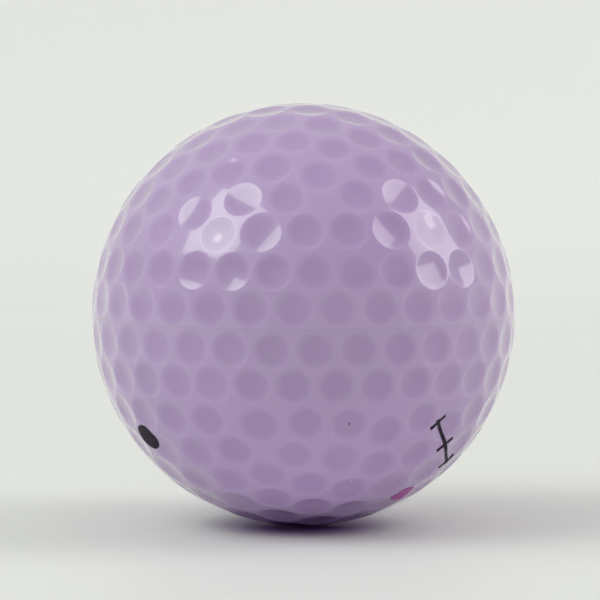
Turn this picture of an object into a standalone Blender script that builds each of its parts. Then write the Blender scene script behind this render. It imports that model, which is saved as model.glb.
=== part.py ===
"""Three-piece golf ball: a solid core, a mantle of two half shells, a dimpled cover of two half
shells that meet at the parting line, and the pad-printed marks on the cover.

Metres, +Z up, origin at the ball's centre. The parting line lies in the XY plane.
"""
import math

import bmesh
import bpy
import numpy as np
from mathutils import Matrix, Vector
from mathutils.geometry import delaunay_2d_cdt

# Ball and layers
ball_diameter = 0.04267
cover_thickness = 0.0017
mantle_thickness = 0.0015
layer_gap = 0.0003
parting_gap = 0.0001

# Dimple layout of the upper half: a dimple at the pole, then rings down to the parting line. The
# two held rings beside the parting line stay where they are, and the others settle
ring_counts = (5, 9, 13, 16, 19, 22, 26, 32, 32)
held_rings = 2
layout_turn = math.radians(3.2)
free_turn = math.radians(7.0)
ring_twist = math.radians(7.8)
last_ring_latitude = math.radians(5.4)
parting_land = math.radians(0.3)
dimple_land = math.radians(0.7)
settle_steps = 250
settle_power = 8
settle_pace = 0.03
grow_steps = 30
largest_dimple = math.radians(11.6)

# Dimple shape
dimple_depth = 0.00022
rim_points = 8
floor_points = 4
floor_share = 0.45
parting_points = 90

# Printed marks: latitude and longitude in degrees, the longitude from -Y towards +X
ink_thickness = 0.0001
ink_lift = 0.00004
black_dot_place = (-32.5, -58.4)
black_dot_diameter = 0.0029
pink_dot_place = (-54.4, 52.8)
pink_dot_diameter = 0.0026
line_place = (-34.3, 52.0)
line_turn = -44.0
line_length = 0.0088
line_width = 0.0006
tick_length = 0.0021
tick_offsets = (-0.004, 0.0, 0.004)
outline_sides = 24
outline_reach = 4 * cover_thickness

# Smoothness of the round layers
sphere_subdivisions = 4
mantle_arc_steps = 9
mantle_turn_steps = 36

# Finishes: base colour and roughness
core_finish = ((0.30, 0.16, 0.42), 0.75)
mantle_finish = ((0.62, 0.45, 0.72), 0.5)
cover_finish = ((0.38, 0.26, 0.47), 0.2)
black_finish = ((0.012, 0.011, 0.014), 0.35)
pink_finish = ((0.40, 0.09, 0.32), 0.35)

ball_radius = ball_diameter / 2
cavity_radius = ball_radius - cover_thickness
mantle_outer = cavity_radius - layer_gap
mantle_inner = mantle_outer - mantle_thickness
core_radius = mantle_inner - layer_gap


def direction(latitude, longitude):
    """Unit vector at a latitude and a longitude in radians, counted from +X towards +Y."""
    flat = math.cos(latitude)
    return Vector((flat * math.cos(longitude), flat * math.sin(longitude), math.sin(latitude)))


def half_turn():
    """The half turn that carries the upper half onto the lower one, its last ring staggered."""
    quarter_step = math.pi / (2 * ring_counts[-1])
    axis = direction(0.0, layout_turn + quarter_step)
    return Matrix.Rotation(math.pi, 4, axis)


def ring_seeds():
    """Upper-half dimple centres on evenly spaced rings, and how many are free to settle."""
    centres = [Vector((0.0, 0.0, 1.0))]
    ring_total = len(ring_counts)
    free_total = ring_total - held_rings
    ring_step = (math.pi / 2 - last_ring_latitude) / ring_total
    for ring, count in enumerate(ring_counts, start=1):
        start = layout_turn
        if ring <= free_total:
            start += free_turn + ring_twist * (free_total + 1 - ring)
        stagger = 0.5 if ring == ring_total else 0.0
        for place in range(count):
            longitude = start + 2 * math.pi * (place + stagger) / count
            centres.append(direction(math.pi / 2 - ring * ring_step, longitude))
    centres = np.array(centres)
    centres /= np.linalg.norm(centres, axis=1)[:, None]
    return centres, len(centres) - sum(ring_counts[-held_rings:])


def settled_centres():
    """Dimple centres of the upper half, pushed apart until the spacing is even."""
    upper, free = ring_seeds()
    turn = np.array(half_turn().to_3x3())
    spacing = math.sqrt(4 * math.pi / (2 * len(upper)))
    for _ in range(settle_steps):
        both = np.concatenate([upper, upper @ turn.T])
        apart = upper[:free, None, :] - both[None, :, :]
        reach = np.linalg.norm(apart, axis=2)
        reach[reach < 1e-9] = np.inf
        push = (apart / reach[..., None] * ((spacing / reach) ** settle_power)[..., None]).sum(axis=1)
        push -= (push * upper[:free]).sum(axis=1)[:, None] * upper[:free]
        size = np.maximum(np.linalg.norm(push, axis=1), 1.0)
        upper[:free] += settle_pace * spacing * push / size[:, None]
        upper[:free] /= np.linalg.norm(upper[:free], axis=1)[:, None]
    return upper


def dimple_radii(upper):
    """Angular radius of each dimple, grown until only the land is left between neighbours."""
    turn = np.array(half_turn().to_3x3())
    both = np.concatenate([upper, upper @ turn.T])
    chords = np.linalg.norm(upper[:, None, :] - both[None, :, :], axis=2)
    np.fill_diagonal(chords, 2.0)
    angles = 2 * np.arcsin(np.minimum(chords / 2, 1.0))
    radii = (angles.min(axis=1) - dimple_land) / 2
    most = np.minimum(np.arcsin(upper[:, 2]) - parting_land, largest_dimple / 2)
    for _ in range(grow_steps):
        radii = np.minimum(radii, most)
        room = (angles - dimple_land - np.tile(radii, 2)).min(axis=1)
        radii += 0.5 * (room - radii)
    return np.minimum(radii, most)


def around(centre, angle, turn):
    """Unit vector at an angle from a centre, turned about it."""
    side = centre.orthogonal().normalized()
    across = centre.cross(side)
    sideways = side * math.cos(turn) + across * math.sin(turn)
    return centre * math.cos(angle) + sideways * math.sin(angle)


def dome_points():
    """Points of the dimpled upper half: the parting edge, then each dimple's rim and floor."""
    edge_height = parting_gap / 2
    edge_radius = math.sqrt(ball_radius ** 2 - edge_height ** 2)
    points = []
    for place in range(parting_points):
        longitude = layout_turn + 2 * math.pi * place / parting_points
        flat = direction(0.0, longitude) * edge_radius
        points.append(Vector((flat.x, flat.y, edge_height)))
    golden_turn = math.pi * (3 - math.sqrt(5))
    centres = settled_centres()
    for index, (centre, radius) in enumerate(zip(centres, dimple_radii(centres))):
        centre = Vector(centre)
        phase = index * golden_turn
        floor_drop = dimple_depth * (1 - floor_share ** 2)
        for place in range(rim_points):
            turn = phase + 2 * math.pi * place / rim_points
            points.append(around(centre, radius, turn) * ball_radius)
        for place in range(floor_points):
            turn = phase + 2 * math.pi * place / floor_points
            points.append(around(centre, radius * floor_share, turn) * (ball_radius - floor_drop))
    return points


def stereographic(point):
    """Map of the upper half onto a disc that keeps circles, seen from the lower pole."""
    unit = point.normalized()
    return Vector((unit.x, unit.y)) / (1 + unit.z)


def dome_mesh():
    """Closed solid of the upper half: the dimpled dome over a flat base at the parting line."""
    points = dome_points()
    flat = [stereographic(point) for point in points]
    triangles = delaunay_2d_cdt(flat, [], [], 0, 1e-9)[2]
    mesh = bpy.data.meshes.new("dimpled_dome")
    build = bmesh.new()
    verts = [build.verts.new(point) for point in points]
    for triangle in triangles:
        build.faces.new([verts[corner] for corner in triangle])
    base = build.faces.new(reversed(verts[:parting_points]))
    bmesh.ops.triangulate(build, faces=[base])
    bmesh.ops.recalc_face_normals(build, faces=build.faces)
    build.to_mesh(mesh)
    build.free()
    return mesh


def material(name, finish):
    """Plain Principled material with a base colour and a roughness."""
    colour, roughness = finish
    made = bpy.data.materials.new(name)
    made.use_nodes = True
    shader = made.node_tree.nodes["Principled BSDF"]
    shader.inputs["Base Color"].default_value = (*colour, 1.0)
    shader.inputs["Roughness"].default_value = roughness
    made.diffuse_color = (*colour, 1.0)
    return made


def place_object(name, mesh, collection, matrix=None):
    """Object on a mesh, in a collection."""
    made = bpy.data.objects.new(name, mesh)
    collection.objects.link(made)
    if matrix is not None:
        made.matrix_world = matrix
    return made


def as_cutter(made):
    """Mark an object as a guide that is not part of the ball."""
    made.hide_render = True
    made.display_type = 'WIRE'
    return made


def boolean(target, cutter, operation):
    """Exact Boolean of a cutter on a target."""
    step = target.modifiers.new(cutter.name, 'BOOLEAN')
    step.operation = operation
    step.solver = 'EXACT'
    step.object = cutter
    return step


def sphere_mesh(name, radius):
    """Icosphere mesh."""
    mesh = bpy.data.meshes.new(name)
    build = bmesh.new()
    bmesh.ops.create_icosphere(build, subdivisions=sphere_subdivisions, radius=radius)
    build.to_mesh(mesh)
    build.free()
    return mesh


def core(collection):
    """Solid rubber core."""
    mesh = sphere_mesh("core", core_radius)
    mesh.shade_smooth()
    mesh.materials.append(material("core_rubber", core_finish))
    return place_object("core", mesh, collection)


def mantle_profile_mesh():
    """Outline of a mantle half shell: down the outside from the pole, and back up the inside."""
    steps = mantle_arc_steps
    edge_height = parting_gap / 2
    mesh = bpy.data.meshes.new("mantle_half")
    build = bmesh.new()
    outline = []
    for radius, order in ((mantle_outer, range(steps, -1, -1)), (mantle_inner, range(steps + 1))):
        lowest = math.asin(edge_height / radius)
        for step in order:
            latitude = lowest + (math.pi / 2 - lowest) * step / steps
            reach = 0.0 if step == steps else radius * math.cos(latitude)
            outline.append(build.verts.new((reach, 0.0, radius * math.sin(latitude))))
    for start, end in zip(outline, outline[1:]):
        build.edges.new((start, end))
    build.to_mesh(mesh)
    build.free()
    return mesh


def mantle_halves(collection):
    """Upper and lower mantle half shells, one turned outline."""
    mesh = mantle_profile_mesh()
    mesh.materials.append(material("mantle_ionomer", mantle_finish))
    for name, matrix in (("mantle_upper", Matrix.Identity(4)), ("mantle_lower", half_turn())):
        half = place_object(name, mesh, collection, matrix)
        screw = half.modifiers.new("turn", 'SCREW')
        screw.steps = mantle_turn_steps
        screw.render_steps = mantle_turn_steps
        screw.use_merge_vertices = True
        screw.merge_threshold = 0.00001
        screw.use_smooth_shade = True


def cover_halves(collection, cutters, dome):
    """Upper and lower cover half shells: the dimpled dome with the ball cavity cut out."""
    cavity = as_cutter(place_object("cavity", sphere_mesh("cavity", cavity_radius), cutters))
    dome.materials.append(material("cover_ionomer", cover_finish))
    for name, matrix in (("cover_upper", Matrix.Identity(4)), ("cover_lower", half_turn())):
        half = place_object(name, dome, collection, matrix)
        boolean(half, cavity, 'DIFFERENCE')


def mark_frame(place, turn):
    """Matrix with its origin on the ball's surface, Z outwards and X turned from due east."""
    latitude = math.radians(place[0])
    longitude = math.radians(place[1] - 90)
    outward = direction(latitude, longitude)
    east = Vector((-math.sin(longitude), math.cos(longitude), 0.0))
    north = outward.cross(east)
    basis = Matrix((east, north, outward)).transposed().to_4x4()
    return Matrix.Translation(outward * ball_radius) @ basis @ Matrix.Rotation(math.radians(turn), 4, 'Z')


def block_mesh(name, length, width):
    """Block mesh that reaches through the cover's surface."""
    mesh = bpy.data.meshes.new(name)
    build = bmesh.new()
    bmesh.ops.create_cube(build, size=1.0)
    bmesh.ops.scale(build, vec=(length, width, outline_reach), verts=build.verts)
    build.to_mesh(mesh)
    build.free()
    return mesh


def round_mesh(name, diameter):
    """Cylinder mesh that reaches through the cover's surface."""
    mesh = bpy.data.meshes.new(name)
    build = bmesh.new()
    bmesh.ops.create_cone(build, cap_ends=True, segments=outline_sides, radius1=diameter / 2,
                          radius2=diameter / 2, depth=outline_reach)
    build.to_mesh(mesh)
    build.free()
    return mesh


def dot_cutter(name, place, diameter, cutters):
    """Outline of a round dot."""
    return as_cutter(place_object(name, round_mesh(name, diameter), cutters, mark_frame(place, 0.0)))


def line_cutter(cutters):
    """Outline of the alignment line and its cross ticks."""
    frame = mark_frame(line_place, line_turn)
    mesh = block_mesh("line_outline", line_length, line_width)
    outline = as_cutter(place_object("line_outline", mesh, cutters, frame))
    tick_mesh = block_mesh("tick_outline", line_width, tick_length)
    for number, offset in enumerate(tick_offsets):
        tick_frame = frame @ Matrix.Translation((offset, 0.0, 0.0))
        tick = as_cutter(place_object(f"tick_outline_{number}", tick_mesh, cutters, tick_frame))
        boolean(outline, tick, 'UNION')
    return outline


def printed_marks(collection, cutters, dome):
    """Ink films that follow the dimpled surface of the lower cover half."""
    under = dome.copy()
    under.name = "ink_underside"
    under_scale = (ball_radius + ink_lift) / ball_radius
    under.transform(Matrix.Scale(under_scale, 4))
    underside = as_cutter(place_object("ink_underside", under, cutters, half_turn()))
    over_scale = (ball_radius + ink_lift + ink_thickness) / ball_radius
    black_outline = dot_cutter("black_outline", black_dot_place, black_dot_diameter, cutters)
    pink_outline = dot_cutter("pink_outline", pink_dot_place, pink_dot_diameter, cutters)
    marks = (
        ("sight_dot", black_outline, black_finish),
        ("alignment_line", line_cutter(cutters), black_finish),
        ("colour_dot", pink_outline, pink_finish),
    )
    for name, outline, finish in marks:
        mesh = dome.copy()
        mesh.name = name
        mesh.transform(Matrix.Scale(over_scale, 4))
        mesh.materials.clear()
        mesh.materials.append(material(f"{name}_ink", finish))
        mark = place_object(name, mesh, collection, half_turn())
        boolean(mark, outline, 'INTERSECT')
        boolean(mark, underside, 'DIFFERENCE')


def main():
    for existing in list(bpy.data.objects):
        bpy.data.objects.remove(existing, do_unlink=True)
    collection = bpy.data.collections.new("golf_ball")
    cutters = bpy.data.collections.new("cutters")
    bpy.context.scene.collection.children.link(collection)
    bpy.context.scene.collection.children.link(cutters)
    dome = dome_mesh()
    core(collection)
    mantle_halves(collection)
    printed_marks(collection, cutters, dome)
    cover_halves(collection, cutters, dome)


main()
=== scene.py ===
import math

import bmesh
import bpy
import numpy as np
from mathutils import Matrix, Vector
from mathutils.geometry import delaunay_2d_cdt


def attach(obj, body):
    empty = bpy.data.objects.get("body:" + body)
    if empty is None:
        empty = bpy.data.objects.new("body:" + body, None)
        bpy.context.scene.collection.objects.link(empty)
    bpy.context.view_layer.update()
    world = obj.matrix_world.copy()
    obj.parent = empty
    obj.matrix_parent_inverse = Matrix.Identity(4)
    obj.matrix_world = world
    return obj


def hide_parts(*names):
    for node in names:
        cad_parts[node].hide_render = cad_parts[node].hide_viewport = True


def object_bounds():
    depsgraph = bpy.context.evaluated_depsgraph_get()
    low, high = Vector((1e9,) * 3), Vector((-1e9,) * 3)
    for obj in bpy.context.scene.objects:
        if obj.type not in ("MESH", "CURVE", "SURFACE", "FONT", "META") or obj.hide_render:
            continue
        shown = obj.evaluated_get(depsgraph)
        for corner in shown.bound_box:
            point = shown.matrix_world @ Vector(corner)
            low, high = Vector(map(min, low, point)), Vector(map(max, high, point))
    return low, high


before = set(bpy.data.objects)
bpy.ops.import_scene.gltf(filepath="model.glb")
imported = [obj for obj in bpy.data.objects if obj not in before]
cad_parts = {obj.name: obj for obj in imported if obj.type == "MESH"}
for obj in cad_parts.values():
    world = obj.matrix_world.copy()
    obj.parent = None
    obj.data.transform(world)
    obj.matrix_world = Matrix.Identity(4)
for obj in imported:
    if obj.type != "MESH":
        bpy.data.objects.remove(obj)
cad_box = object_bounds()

# Ball and cover, in metres
ball_radius = 0.04267 / 2
cover_thickness = 0.0017
cavity_radius = ball_radius - cover_thickness
seam_gap = 0.000004

# Dimple layout
ring_counts = (5, 9, 13, 16, 19, 22, 26, 32, 32)
held_rings = 2
layout_turn = math.radians(3.2)
free_turn = math.radians(7.0)
ring_twist = math.radians(7.8)
last_ring_latitude = math.radians(5.4)
parting_land = math.radians(0.3)
dimple_land = math.radians(0.7)
settle_steps = 250
settle_power = 8
settle_pace = 0.03
grow_steps = 30
largest_dimple = math.radians(11.6)

# Dimple shape: a spherical dish with a small rounding where it meets the land
dimple_depth = 0.00022
rim_softness = 0.08
dimple_spokes = 36
dimple_rings = (0.13, 0.27, 0.41, 0.55, 0.68, 0.79, 0.87, 0.925, 0.96, 0.985, 1.005, 1.025, 1.045)
rim_reach = dimple_rings[-1]
seam_points = 240
cavity_rings = 10
sharp_edge = math.radians(60.0)
too_near = 1e-9

# Printed marks: latitude and longitude in degrees, the longitude from -Y towards +X
ink_lift = 0.000012
ink_thickness = 0.000022
black_dot_place = (-32.5, -58.4)
black_dot_diameter = 0.0029
pink_dot_place = (-54.4, 52.8)
pink_dot_diameter = 0.0026
line_place = (-34.3, 52.0)
line_turn = -44.0
line_length = 0.0088
line_width = 0.0004
tick_length = 0.0021
tick_offsets = (-0.004, 0.0, 0.004)
speck_place = (-25.9, 13.4)
speck_radius = 0.00016
ink_step = 0.0001

# Camera: it looks along +Y from a little above the ball's centre. The ball fills a share of the
# frame's half width, and the aim is to the left and above by shares of the ball's radius
camera_elevation = math.radians(4.0)
camera_distance = 16 * ball_radius
ball_share = 0.705
aim_aside = (0.0161, 0.0681)

# Table and backdrop: a flat disc that turns up round its edge
table_spokes = 96
table_fine_step = 0.02
table_fine_rings = 5
table_rings = 12
table_radius = 0.75
backdrop_bend = 0.9
backdrop_turn = math.radians(80)
backdrop_rings = 24

# Lights: sizes in metres, powers in watts
light_distance = 0.9
softbox_size = (0.50, 0.52)
tall_softbox_size = (0.50, 0.56)
bulb_size = (0.10, 0.10)
fill_size = (0.48, 0.65)
backdrop_light_size = (1.4, 0.5)
backdrop_light_place = (0.0, 0.32, 0.9)
bounce_card_size = (0.044, 0.018)
bounce_card_reach = 0.022
bounce_card_lift = 0.0005
bounce_card_powers = (0.0007, 0.0003, 0.0007, 0.0003)
cool_white = (0.90, 1.0, 0.89)
warm_white = (1.0, 0.98, 0.96)
lilac_glow = (0.92, 0.72, 1.0)


def direction(latitude, longitude):
    """Unit vector at a latitude and a longitude in radians, counted from +X towards +Y."""
    flat = math.cos(latitude)
    return Vector((flat * math.cos(longitude), flat * math.sin(longitude), math.sin(latitude)))


def half_turn():
    """The half turn that carries the upper half onto the lower one."""
    quarter_step = math.pi / (2 * ring_counts[-1])
    return Matrix.Rotation(math.pi, 4, direction(0.0, layout_turn + quarter_step))


def ring_seeds():
    """Upper-half dimple centres on evenly spaced rings, and how many are free to settle."""
    centres = [Vector((0.0, 0.0, 1.0))]
    ring_total = len(ring_counts)
    free_total = ring_total - held_rings
    ring_step = (math.pi / 2 - last_ring_latitude) / ring_total
    for ring, count in enumerate(ring_counts, start=1):
        start = layout_turn
        if ring <= free_total:
            start += free_turn + ring_twist * (free_total + 1 - ring)
        stagger = 0.5 if ring == ring_total else 0.0
        for place in range(count):
            longitude = start + 2 * math.pi * (place + stagger) / count
            centres.append(direction(math.pi / 2 - ring * ring_step, longitude))
    centres = np.array(centres)
    centres /= np.linalg.norm(centres, axis=1)[:, None]
    return centres, len(centres) - sum(ring_counts[-held_rings:])


def settled_centres():
    """Dimple centres of the upper half, pushed apart until the spacing is even."""
    upper, free = ring_seeds()
    turn = np.array(half_turn().to_3x3())
    spacing = math.sqrt(4 * math.pi / (2 * len(upper)))
    for _ in range(settle_steps):
        both = np.concatenate([upper, upper @ turn.T])
        apart = upper[:free, None, :] - both[None, :, :]
        reach = np.linalg.norm(apart, axis=2)
        reach[reach < too_near] = np.inf
        push = (apart / reach[..., None] * ((spacing / reach) ** settle_power)[..., None]).sum(axis=1)
        push -= (push * upper[:free]).sum(axis=1)[:, None] * upper[:free]
        size = np.maximum(np.linalg.norm(push, axis=1), 1.0)
        upper[:free] += settle_pace * spacing * push / size[:, None]
        upper[:free] /= np.linalg.norm(upper[:free], axis=1)[:, None]
    return upper


def dimple_radii(upper):
    """Angular radius of each dimple, grown until only the land is left between neighbours."""
    turn = np.array(half_turn().to_3x3())
    both = np.concatenate([upper, upper @ turn.T])
    chords = np.linalg.norm(upper[:, None, :] - both[None, :, :], axis=2)
    np.fill_diagonal(chords, 2.0)
    angles = 2 * np.arcsin(np.minimum(chords / 2, 1.0))
    radii = (angles.min(axis=1) - dimple_land) / 2
    most = np.minimum(np.arcsin(upper[:, 2]) - parting_land, largest_dimple / 2)
    for _ in range(grow_steps):
        radii = np.minimum(radii, most)
        room = (angles - dimple_land - np.tile(radii, 2)).min(axis=1)
        radii += 0.5 * (room - radii)
    return np.minimum(radii, most)


def soft_dish(share):
    """Dish depth against distance from the middle, with the rim rounded."""
    level = 1 - share ** 2
    return (level + np.sqrt(level ** 2 + rim_softness ** 2)) / 2


def dish_depth(share):
    """Depth below the ball's outside at a share of the dimple's radius."""
    share = np.minimum(share, rim_reach)
    outside = soft_dish(rim_reach)
    return dimple_depth * (soft_dish(share) - outside) / (soft_dish(0.0) - outside)


def unit_frame(centre):
    """Two unit vectors square to a unit vector and to each other."""
    side = np.array(Vector(centre).orthogonal().normalized())
    side -= centre * side.dot(centre)
    side /= np.linalg.norm(side)
    return side, np.cross(centre, side)


def stereographic(points):
    """Map of the upper half onto a disc that keeps circles, seen from the lower pole."""
    units = points / np.linalg.norm(points, axis=1)[:, None]
    return units[:, :2] / (1 + units[:, 2:])


def ring_quads(first, second, count):
    """Faces between two rings of points, given the index each starts at, outwards if second is outer."""
    faces = []
    for place in range(count):
        after = (place + 1) % count
        faces.append((first + place, second + place, second + after, first + after))
    return faces


def cover_half_mesh(centres, radii):
    """Closed shell of the upper cover half: dimples, lands, joint face and ball cavity."""
    turns = 2 * math.pi * np.arange(dimple_spokes) / dimple_spokes
    blocks = []
    faces = []
    rims = []
    used = 0
    for centre, radius in zip(centres, radii):
        side, across = unit_frame(centre)
        blocks.append((centre * (ball_radius - dish_depth(0.0)))[None, :])
        middle = used
        used += 1
        inner = None
        for share in dimple_rings:
            angle = radius * share
            around = np.outer(np.cos(turns), side) + np.outer(np.sin(turns), across)
            ring = centre * math.cos(angle) + around * math.sin(angle)
            blocks.append(ring * (ball_radius - dish_depth(share)))
            if inner is None:
                for place in range(dimple_spokes):
                    faces.append((middle, used + place, used + (place + 1) % dimple_spokes))
            else:
                faces.extend(ring_quads(inner, used, dimple_spokes))
            inner = used
            used += dimple_spokes
        rims.append(inner)

    edge_height = seam_gap / 2
    longitudes = 2 * math.pi * np.arange(seam_points) / seam_points

    def circle(radius, latitude):
        flat = radius * math.cos(latitude)
        return np.column_stack([flat * np.cos(longitudes), flat * np.sin(longitudes),
                                np.full(seam_points, radius * math.sin(latitude))])

    outer_edge = used
    blocks.append(circle(ball_radius, math.asin(edge_height / ball_radius)))
    used += seam_points

    lowest = math.asin(edge_height / cavity_radius)
    inner = outer_edge
    for step in range(cavity_rings):
        latitude = lowest + (math.pi / 2 - lowest) * step / cavity_rings
        blocks.append(circle(cavity_radius, latitude))
        faces.extend(tuple(reversed(face)) for face in ring_quads(used, inner, seam_points))
        inner = used
        used += seam_points
    blocks.append(np.array([[0.0, 0.0, cavity_radius]]))
    for place in range(seam_points):
        faces.append((inner + (place + 1) % seam_points, inner + place, used))
    points = np.concatenate(blocks)

    land = []
    loop_edges = []
    owner = []
    loops = [(rim, dimple_spokes) for rim in rims]
    loops.append((outer_edge, seam_points))
    for number, (first, count) in enumerate(loops):
        start = len(land)
        land.extend(range(first, first + count))
        owner.extend([number] * count)
        loop_edges.extend((start + place, start + (place + 1) % count) for place in range(count))
    flat = [Vector(pair) for pair in stereographic(points[land])]
    _, _, triangles, sources, _, _ = delaunay_2d_cdt(flat, loop_edges, [], 1, too_near)
    sources = [source[0] for source in sources]
    for triangle in triangles:
        corners = [sources[corner] for corner in triangle]
        if len({owner[corner] for corner in corners}) == 1 and owner[corners[0]] < len(rims):
            continue
        faces.append(tuple(land[corner] for corner in corners))

    mesh = bpy.data.meshes.new("cover_half")
    mesh.from_pydata(points.tolist(), [], faces)
    mesh.shade_smooth()
    mesh.set_sharp_from_angle(angle=sharp_edge)
    return mesh


def node_adder(tree):
    """Function that adds a node of a kind to a tree, with its settings."""

    def node(kind, **settings):
        added = tree.nodes.new(kind)
        for key, value in settings.items():
            setattr(added, key, value)
        return added

    return node


def new_material(name):
    """Material with a plain Principled shader, its node tree and the function that adds nodes."""
    made = bpy.data.materials.new(name)
    made.use_nodes = True
    tree = made.node_tree
    return made, tree, tree.nodes["Principled BSDF"], node_adder(tree)


def link(tree, source, target):
    """Joins an output socket to an input socket."""
    tree.links.new(source, target)


def set_inputs(node, **values):
    """Sets sockets by name; an underscore stands for a space."""
    for key, value in values.items():
        node.inputs[key.replace("_", " ")].default_value = value


def noise(tree, node, vector, scale, detail, roughness=0.5):
    """Noise over a vector socket."""
    made = node("ShaderNodeTexNoise")
    set_inputs(made, Scale=scale, Detail=detail, Roughness=roughness)
    link(tree, vector, made.inputs["Vector"])
    return made.outputs["Fac"]


def mapped(tree, node, value, low, high, to_low, to_high, kind="LINEAR"):
    """Value carried from one range to another, and held at its ends."""
    made = node("ShaderNodeMapRange", interpolation_type=kind)
    for index, number in enumerate((low, high, to_low, to_high), start=1):
        made.inputs[index].default_value = number
    link(tree, value, made.inputs[0])
    return made.outputs[0]


def mixed(tree, node, factor, first, second):
    """Colour mix; each colour is a socket or an RGB triple."""
    made = node("ShaderNodeMix", data_type="RGBA")
    link(tree, factor, made.inputs[0])
    for index, colour in ((6, first), (7, second)):
        if isinstance(colour, tuple):
            made.inputs[index].default_value = (*colour, 1.0)
        else:
            link(tree, colour, made.inputs[index])
    return made.outputs[2]


def vector_step(tree, node, operation, vector, other=None):
    """Vector operation on a socket, with a fixed second vector where it takes one."""
    made = node("ShaderNodeVectorMath", operation=operation)
    link(tree, vector, made.inputs[0])
    if other is not None:
        made.inputs[1].default_value = other
    return made


def roughened(tree, node, shader, height, strength, distance):
    """Bump on a shader from a height socket."""
    bump = node("ShaderNodeBump")
    set_inputs(bump, Strength=strength, Distance=distance)
    link(tree, height, bump.inputs["Height"])
    link(tree, bump.outputs["Normal"], shader.inputs["Normal"])


def cover_material():
    """Glossy lilac ionomer with painted shade on the dimple floors and painted light on the lands, faint
    scuffs and one dark speck.
    """
    made, tree, shader, node = new_material("cover_ionomer")
    place = node("ShaderNodeTexCoord").outputs["Object"]
    from_centre = vector_step(tree, node, "LENGTH", place).outputs["Value"]
    # Painted shade and light: darker towards each dimple's floor, paler on the lands (land is 0 deep in a
    # dimple, 1 on the land).
    height = mapped(tree, node, from_centre, ball_radius - dimple_depth, ball_radius, 0.0, 1.0)
    land = mapped(tree, node, height, 0.30, 1.05, 0.0, 1.0, "SMOOTHSTEP")
    clouds = mapped(tree, node, noise(tree, node, place, 90.0, 3.0), 0.35, 0.65, 0.0, 1.0)
    painted_shade_floor_colour = mixed(tree, node, clouds, (0.347, 0.230, 0.441), (0.367, 0.246, 0.464))
    colour = mixed(tree, node, land, painted_shade_floor_colour, (0.404, 0.283, 0.500))
    grime = mapped(tree, node, noise(tree, node, place, 420.0, 5.0, 0.62), 0.60, 0.78, 0.0, 0.22)
    colour = mixed(tree, node, grime, colour, (0.34, 0.27, 0.38))
    speck_centre = Vector(mark_axes(speck_place, 0.0)[0]) * (ball_radius - dimple_depth / 2)
    from_speck = vector_step(tree, node, "DISTANCE", place, speck_centre).outputs["Value"]
    speck = mapped(tree, node, from_speck, 0.7 * speck_radius, 1.3 * speck_radius, 0.9, 0.0)
    colour = mixed(tree, node, speck, colour, (0.05, 0.035, 0.06))
    link(tree, colour, shader.inputs["Base Color"])
    scuffs = mapped(tree, node, noise(tree, node, place, 260.0, 6.0, 0.7), 0.45, 0.75, 0.18, 0.30)
    link(tree, scuffs, shader.inputs["Roughness"])
    roughened(tree, node, shader, noise(tree, node, place, 2600.0, 4.0, 0.6), 0.04, 0.00002)
    set_inputs(shader, Subsurface_Weight=0.35, Subsurface_Scale=0.0011, IOR=1.5)
    shader.inputs["Subsurface Radius"].default_value = (1.0, 0.45, 1.3)
    set_inputs(shader, Coat_Weight=1.0, Coat_Roughness=0.04, Coat_IOR=1.5)
    return made


def ink_material(name, colour, worn):
    """Pad-printing ink: slightly uneven, a little worn."""
    made, tree, shader, node = new_material(name)
    place = node("ShaderNodeTexCoord").outputs["Object"]
    wear = mapped(tree, node, noise(tree, node, place, 1500.0, 4.0, 0.65), 0.55, 0.75, 0.0, 0.5)
    link(tree, mixed(tree, node, wear, colour, worn), shader.inputs["Base Color"])
    gloss = mapped(tree, node, noise(tree, node, place, 900.0, 3.0), 0.3, 0.7, 0.40, 0.58)
    link(tree, gloss, shader.inputs["Roughness"])
    roughened(tree, node, shader, noise(tree, node, place, 3200.0, 3.0), 0.2, 0.00002)
    set_inputs(shader, Specular_IOR_Level=0.25, IOR=1.3)
    return made


def core_material():
    """Cured rubber: mottled, dull, with ground filler in it."""
    made, tree, shader, node = new_material("core_rubber")
    place = node("ShaderNodeTexCoord").outputs["Object"]
    mottle = mapped(tree, node, noise(tree, node, place, 160.0, 5.0, 0.6), 0.35, 0.65, 0.0, 1.0)
    colour = mixed(tree, node, mottle, (0.24, 0.12, 0.36), (0.34, 0.19, 0.46))
    grain = node("ShaderNodeTexVoronoi")
    set_inputs(grain, Scale=1300.0)
    link(tree, place, grain.inputs["Vector"])
    specks = mapped(tree, node, grain.outputs["Distance"], 0.05, 0.16, 0.35, 0.0)
    link(tree, mixed(tree, node, specks, colour, (0.62, 0.55, 0.68)), shader.inputs["Base Color"])
    link(tree, mapped(tree, node, mottle, 0.0, 1.0, 0.68, 0.82), shader.inputs["Roughness"])
    roughened(tree, node, shader, noise(tree, node, place, 2000.0, 4.0, 0.6), 0.4, 0.00005)
    return made


def mantle_material():
    """Moulded ionomer under the cover: smooth, waxy, with faint flow clouds."""
    made, tree, shader, node = new_material("mantle_ionomer")
    place = node("ShaderNodeTexCoord").outputs["Object"]
    clouds = mapped(tree, node, noise(tree, node, place, 110.0, 4.0, 0.55), 0.3, 0.7, 0.0, 1.0)
    colour = mixed(tree, node, clouds, (0.56, 0.40, 0.66), (0.66, 0.50, 0.75))
    link(tree, colour, shader.inputs["Base Color"])
    link(tree, mapped(tree, node, clouds, 0.0, 1.0, 0.42, 0.55), shader.inputs["Roughness"])
    roughened(tree, node, shader, noise(tree, node, place, 1400.0, 3.0), 0.15, 0.00003)
    return made


def place_object(name, mesh, material):
    """Object on a mesh with one material."""
    mesh.materials.clear()
    mesh.materials.append(material)
    made = bpy.data.objects.new(name, mesh)
    bpy.context.scene.collection.objects.link(made)
    return made


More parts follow.
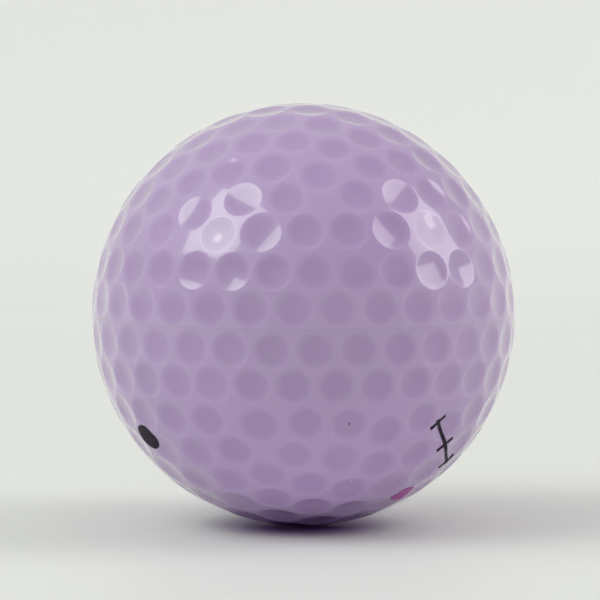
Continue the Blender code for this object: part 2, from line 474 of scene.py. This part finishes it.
def mark_axes(place, turn):
    """Unit vectors of a mark: outwards, along it and across it."""
    longitude = math.radians(place[1] - 90)
    outward = direction(math.radians(place[0]), longitude)
    east = Vector((-math.sin(longitude), math.cos(longitude), 0.0))
    north = outward.cross(east)
    angle = math.radians(turn)
    along = east * math.cos(angle) + north * math.sin(angle)
    return np.array(outward), np.array(along), np.array(outward.cross(along))


def film_mesh(name, flat_mesh, place, turn, dimples):
    """Thin ink film: a flat outline thickened and laid on the dimpled surface."""
    centres, radii = dimples
    outward, along, across = mark_axes(place, turn)
    bottom = list(flat_mesh.faces)
    bmesh.ops.recalc_face_normals(flat_mesh, faces=bottom)
    if bottom[0].normal.z > 0:
        bmesh.ops.reverse_faces(flat_mesh, faces=bottom)
    raised = bmesh.ops.extrude_face_region(flat_mesh, geom=bottom, use_keep_orig=True)
    tops = {item for item in raised["geom"] if isinstance(item, bmesh.types.BMVert)}
    top_face = next(item for item in raised["geom"] if isinstance(item, bmesh.types.BMFace))
    for vert in flat_mesh.verts:
        ray = outward * ball_radius + along * vert.co.x + across * vert.co.y
        ray /= np.linalg.norm(ray)
        angles = np.arccos(np.clip(centres @ ray, -1.0, 1.0))
        nearest = int(np.argmin(angles - radii))
        lift = ink_lift + (ink_thickness if vert in tops else 0.0)
        reach = ball_radius - dish_depth(angles[nearest] / radii[nearest]) + lift
        vert.co = Vector(ray * reach)
    bmesh.ops.recalc_face_normals(flat_mesh, faces=flat_mesh.faces)
    if top_face.normal.dot(Vector(outward)) < 0:
        bmesh.ops.reverse_faces(flat_mesh, faces=flat_mesh.faces)
    mesh = bpy.data.meshes.new(name)
    flat_mesh.to_mesh(mesh)
    flat_mesh.free()
    return mesh


def disc_outline(diameter):
    """Flat disc of fine rings with a slightly uneven edge."""
    flat = bmesh.new()
    spokes = 48
    steps = max(2, round(diameter / 2 / ink_step))
    middle = flat.verts.new((0.0, 0.0, 0.0))
    inner = None
    for step in range(1, steps + 1):
        ring = []
        for place in range(spokes):
            turn = 2 * math.pi * place / spokes
            waver = 1 + 0.012 * math.sin(5 * turn + 1.0) + 0.010 * math.sin(11 * turn)
            reach = diameter / 2 * step / steps * waver
            ring.append(flat.verts.new((reach * math.cos(turn), reach * math.sin(turn), 0.0)))
        for place in range(spokes):
            after = (place + 1) % spokes
            if inner is None:
                flat.faces.new((middle, ring[place], ring[after]))
            else:
                flat.faces.new((inner[place], ring[place], ring[after], inner[after]))
        inner = ring
    return flat


def stops(edges, step):
    """Sorted positions that include every edge and leave no gap wider than a step."""
    edges = sorted(set(edges))
    made = []
    for low, high in zip(edges, edges[1:]):
        parts = max(1, math.ceil((high - low) / step - 1e-6))
        made.extend(low + (high - low) * part / parts for part in range(parts))
    made.append(edges[-1])
    return made


def line_outline():
    """Flat outline of the line with its cross ticks, as one grid of cells."""
    half = line_width / 2
    columns = [-line_length / 2, line_length / 2]
    for offset in tick_offsets:
        columns.extend((offset - half, offset + half))
    columns = stops([round(value, 7) for value in columns], ink_step)
    rows = stops([-tick_length / 2, -half, half, tick_length / 2], ink_step)
    flat = bmesh.new()
    corners = {}

    def corner(column, row):
        if (column, row) not in corners:
            corners[column, row] = flat.verts.new((columns[column], rows[row], 0.0))
        return corners[column, row]

    for column in range(len(columns) - 1):
        x = (columns[column] + columns[column + 1]) / 2
        in_tick = any(abs(x - offset) < half for offset in tick_offsets)
        for row in range(len(rows) - 1):
            y = (rows[row] + rows[row + 1]) / 2
            in_line = abs(y) < half and abs(x) < line_length / 2
            if in_line or in_tick:
                flat.faces.new((corner(column, row), corner(column + 1, row),
                                corner(column + 1, row + 1), corner(column, row + 1)))
    return flat


def table_material():
    """Pale laminate with painted shade near the ball, painted light out on the backdrop, and a painted
    purple shade and glow beneath the ball as by light through the ball.
    """
    made, tree, shader, node = new_material("table_laminate")
    place = node("ShaderNodeTexCoord").outputs["Object"]
    clouds = mapped(tree, node, noise(tree, node, place, 14.0, 4.0, 0.5), 0.3, 0.7, 0.0, 1.0)
    flat_place = vector_step(tree, node, "MULTIPLY", place, (1.0, 1.0, 0.0)).outputs["Vector"]
    reach = vector_step(tree, node, "LENGTH", flat_place).outputs["Value"]
    # Painted shade and light: darker near the ball and paler out on the backdrop, standing in for how the
    # lamps fall.
    painted_light_and_shade_by_reach = mapped(tree, node, reach, 0.04, 0.9, 0.0, 1.0, "SMOOTHSTEP")
    tone = mixed(tree, node, clouds, (0.66, 0.66, 0.653), (0.68, 0.679, 0.671))
    tone = mixed(tree, node, painted_light_and_shade_by_reach, tone, (0.95, 0.96, 0.935))
    # Painted shade: a dark purple patch beneath the ball stands in for its contact shade and the lilac light
    # off it.
    painted_shade_beneath_ball = mapped(tree, node, reach, 0.003, 0.0115, 1.0, 0.0, "SMOOTHSTEP")
    link(tree, mixed(tree, node, painted_shade_beneath_ball, tone, (0.26, 0.09, 0.40)), shader.inputs["Base Color"])
    set_inputs(shader, Roughness=0.5)
    roughened(tree, node, shader, noise(tree, node, place, 900.0, 3.0), 0.05, 0.0001)
    return made


def stage():
    """Round table that turns up smoothly into a backdrop."""
    fine_radius = table_fine_step * table_fine_rings
    profile = [(table_fine_step * step, 0.0) for step in range(1, table_fine_rings + 1)]
    for step in range(1, table_rings + 1):
        profile.append((fine_radius + (table_radius - fine_radius) * step / table_rings, 0.0))
    for step in range(1, backdrop_rings + 1):
        turn = backdrop_turn * step / backdrop_rings
        profile.append((table_radius + backdrop_bend * math.sin(turn), backdrop_bend * (1 - math.cos(turn))))
    floor_height = cad_box[0].z
    sheet = bmesh.new()
    middle = sheet.verts.new((0.0, 0.0, floor_height))
    inner = None
    for reach, height in profile:
        ring = []
        for place in range(table_spokes):
            turn = 2 * math.pi * place / table_spokes
            corner = (reach * math.cos(turn), reach * math.sin(turn), floor_height + height)
            ring.append(sheet.verts.new(corner))
        for place in range(table_spokes):
            after = (place + 1) % table_spokes
            if inner is None:
                sheet.faces.new((middle, ring[place], ring[after]))
            else:
                sheet.faces.new((inner[place], ring[place], ring[after], inner[after]))
        inner = ring
    mesh = bpy.data.meshes.new("table")
    sheet.to_mesh(mesh)
    sheet.free()
    mesh.shade_smooth()
    table = place_object("table", mesh, table_material())


def area_light(name, place, towards, size, power, colour):
    """Rectangular light at a place, shining the opposite way to a direction."""
    data = bpy.data.lights.new(name, "AREA")
    data.shape = "RECTANGLE"
    data.size = size[0]
    data.size_y = size[1]
    data.energy = power
    data.color = colour
    light = bpy.data.objects.new(name, data)
    bpy.context.scene.collection.objects.link(light)
    light.location = place
    light.rotation_mode = "QUATERNION"
    light.rotation_quaternion = Vector(towards).to_track_quat("Z", "Y")
    return light


def softbox(name, towards, power, colour, size):
    """Studio light that faces the ball."""
    towards = Vector(towards).normalized()
    return area_light(name, towards * light_distance, towards, size, power, colour)


def keep_unseen(light):
    """Leaves a light out of the picture and out of reflections."""
    light.visible_camera = False
    light.visible_glossy = False


def fill(name, towards, power, colour):
    """Broad weak light, seen only by its glow on matt surfaces."""
    keep_unseen(softbox(name, towards, power, colour, fill_size))


def backdrop_light():
    """Light on the backdrop behind the ball, none of it on the ball."""
    keep_unseen(area_light("backdrop_light", backdrop_light_place, (0.0, -1.0, 0.0),
                           backdrop_light_size, 0.35, cool_white))


def bounce_cards():
    """Weak light that comes up from the table round the ball, most of it in front and behind."""
    for number, power in enumerate(bounce_card_powers):
        turn = 2 * math.pi * number / len(bounce_card_powers)
        place = (bounce_card_reach * math.sin(turn), -bounce_card_reach * math.cos(turn),
                 cad_box[0].z + bounce_card_lift)
        light = area_light(f"bounce_card_{number}", place, (0.0, 0.0, -1.0),
                           bounce_card_size, power, lilac_glow)
        swing = Matrix.Rotation(turn, 3, "Z").to_quaternion()
        light.rotation_quaternion = swing @ light.rotation_quaternion
        keep_unseen(light)


def surroundings():
    """Soft light from all round, strongest at the left and weakest at the front right."""
    world = bpy.data.worlds.new("studio")
    bpy.context.scene.world = world
    world.use_nodes = True
    tree = world.node_tree
    node = node_adder(tree)
    ray = node("ShaderNodeTexCoord").outputs["Generated"]
    front_right = Vector((0.62, -0.78, 0.0)).normalized()
    facing = vector_step(tree, node, "DOT_PRODUCT", ray, front_right).outputs["Value"]
    front = mapped(tree, node, facing, 0.35, 1.0, 0.64, 0.395, "SMOOTHSTEP")
    left = Vector((-0.86, -0.42, 0.28)).normalized()
    leftward = vector_step(tree, node, "DOT_PRODUCT", ray, left).outputs["Value"]
    side = mapped(tree, node, leftward, -0.4, 1.0, 0.92, 1.40, "SMOOTHSTEP")
    strength = node("ShaderNodeMath", operation="MULTIPLY")
    link(tree, front, strength.inputs[0])
    link(tree, side, strength.inputs[1])
    back = tree.nodes["Background"]
    back.inputs["Color"].default_value = (0.94, 0.942, 0.93, 1.0)
    link(tree, strength.outputs["Value"], back.inputs["Strength"])


def camera():
    """Camera whose frame holds the ball a little right of and below the middle."""
    data = bpy.data.cameras.new("camera")
    apparent = math.tan(math.asin(ball_radius / camera_distance))
    data.sensor_width = 36.0
    data.lens = data.sensor_width / 2 * ball_share / apparent
    data.clip_start = 0.01
    data.clip_end = 20.0
    made = bpy.data.objects.new("camera", data)
    bpy.context.scene.collection.objects.link(made)
    back = Vector((0.0, -math.cos(camera_elevation), math.sin(camera_elevation)))
    right = Vector((1.0, 0.0, 0.0))
    up = right.cross(-back)
    made.location = back * camera_distance
    aim = (-right * aim_aside[0] + up * aim_aside[1]) * ball_radius
    made.rotation_mode = "QUATERNION"
    made.rotation_quaternion = (made.location - aim).to_track_quat("Z", "Y")
    bpy.context.scene.camera = made


def cover_halves(upper, radii, turn):
    """The two dimpled cover halves, the lower one the upper one turned over."""
    cover = cover_material()
    upper_mesh = cover_half_mesh(upper, radii)
    lower_mesh = upper_mesh.copy()
    lower_mesh.transform(turn)
    for name, mesh, replaced in (
        ("dimpled_cover_upper", upper_mesh, "cover_upper"),
        ("dimpled_cover_lower", lower_mesh, "cover_lower"),
    ):
        half = place_object(name, mesh, cover)
        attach(half, "root")
        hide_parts(replaced)


def printed_mark(name, outline, place, turn, ink, dimples):
    """One ink film on the cover."""
    mark = place_object(name, film_mesh(name, outline, place, turn, dimples), ink)
    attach(mark, "root")
    return mark


def printed_marks(dimples):
    """The black dot, the black line with its ticks and the pink dot."""
    black = ink_material("black_ink", (0.016, 0.009, 0.018), (0.06, 0.04, 0.075))
    pink = ink_material("pink_ink", (0.40, 0.11, 0.36), (0.44, 0.18, 0.43))
    black_disc = disc_outline(black_dot_diameter)
    sight_dot = printed_mark("printed_sight_dot", black_disc, black_dot_place, 0.0, black, dimples)
    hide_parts("sight_dot")
    line = printed_mark("printed_line", line_outline(), line_place, line_turn, black, dimples)
    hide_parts("alignment_line")
    pink_disc = disc_outline(pink_dot_diameter)
    colour_dot = printed_mark("printed_colour_dot", pink_disc, pink_dot_place, 0.0, pink, dimples)
    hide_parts("colour_dot")


def inner_layers():
    """Better finishes for the core and the mantle halves."""
    rubber = core_material()
    ionomer = mantle_material()
    for node_name, finish in (("core", rubber), ("mantle_upper", ionomer), ("mantle_lower", ionomer)):
        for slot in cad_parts[node_name].material_slots:
            slot.material = finish


def lights():
    """Two softboxes with a small bright bulb in each, fills, and light off the backdrop and table."""
    softbox("left_softbox", (-0.62, -0.34, 0.71), 2.25, cool_white, softbox_size)
    softbox("right_softbox", (0.845, -0.035, 0.535), 1.9, warm_white, tall_softbox_size)
    softbox("left_bulb", (-0.64, -0.37, 0.68), 0.11, cool_white, bulb_size)
    softbox("right_bulb", (0.85, -0.06, 0.51), 0.09, warm_white, bulb_size)
    fill("left_fill", (-0.80, -0.05, 0.58), 1.9, cool_white)
    fill("right_fill", (0.62, 0.12, 0.78), 1.2, warm_white)
    backdrop_light()
    bounce_cards()
    surroundings()


def build():
    """The whole picture: ball, table, lights and camera."""
    upper = settled_centres()
    radii = dimple_radii(upper)
    turn = half_turn()
    lower = upper @ np.array(turn.to_3x3()).T
    cover_halves(upper, radii, turn)
    printed_marks((np.concatenate([upper, lower]), np.tile(radii, 2)))
    inner_layers()
    stage()
    lights()
    camera()


bpy.context.scene.view_settings.view_transform = "Standard"
build()
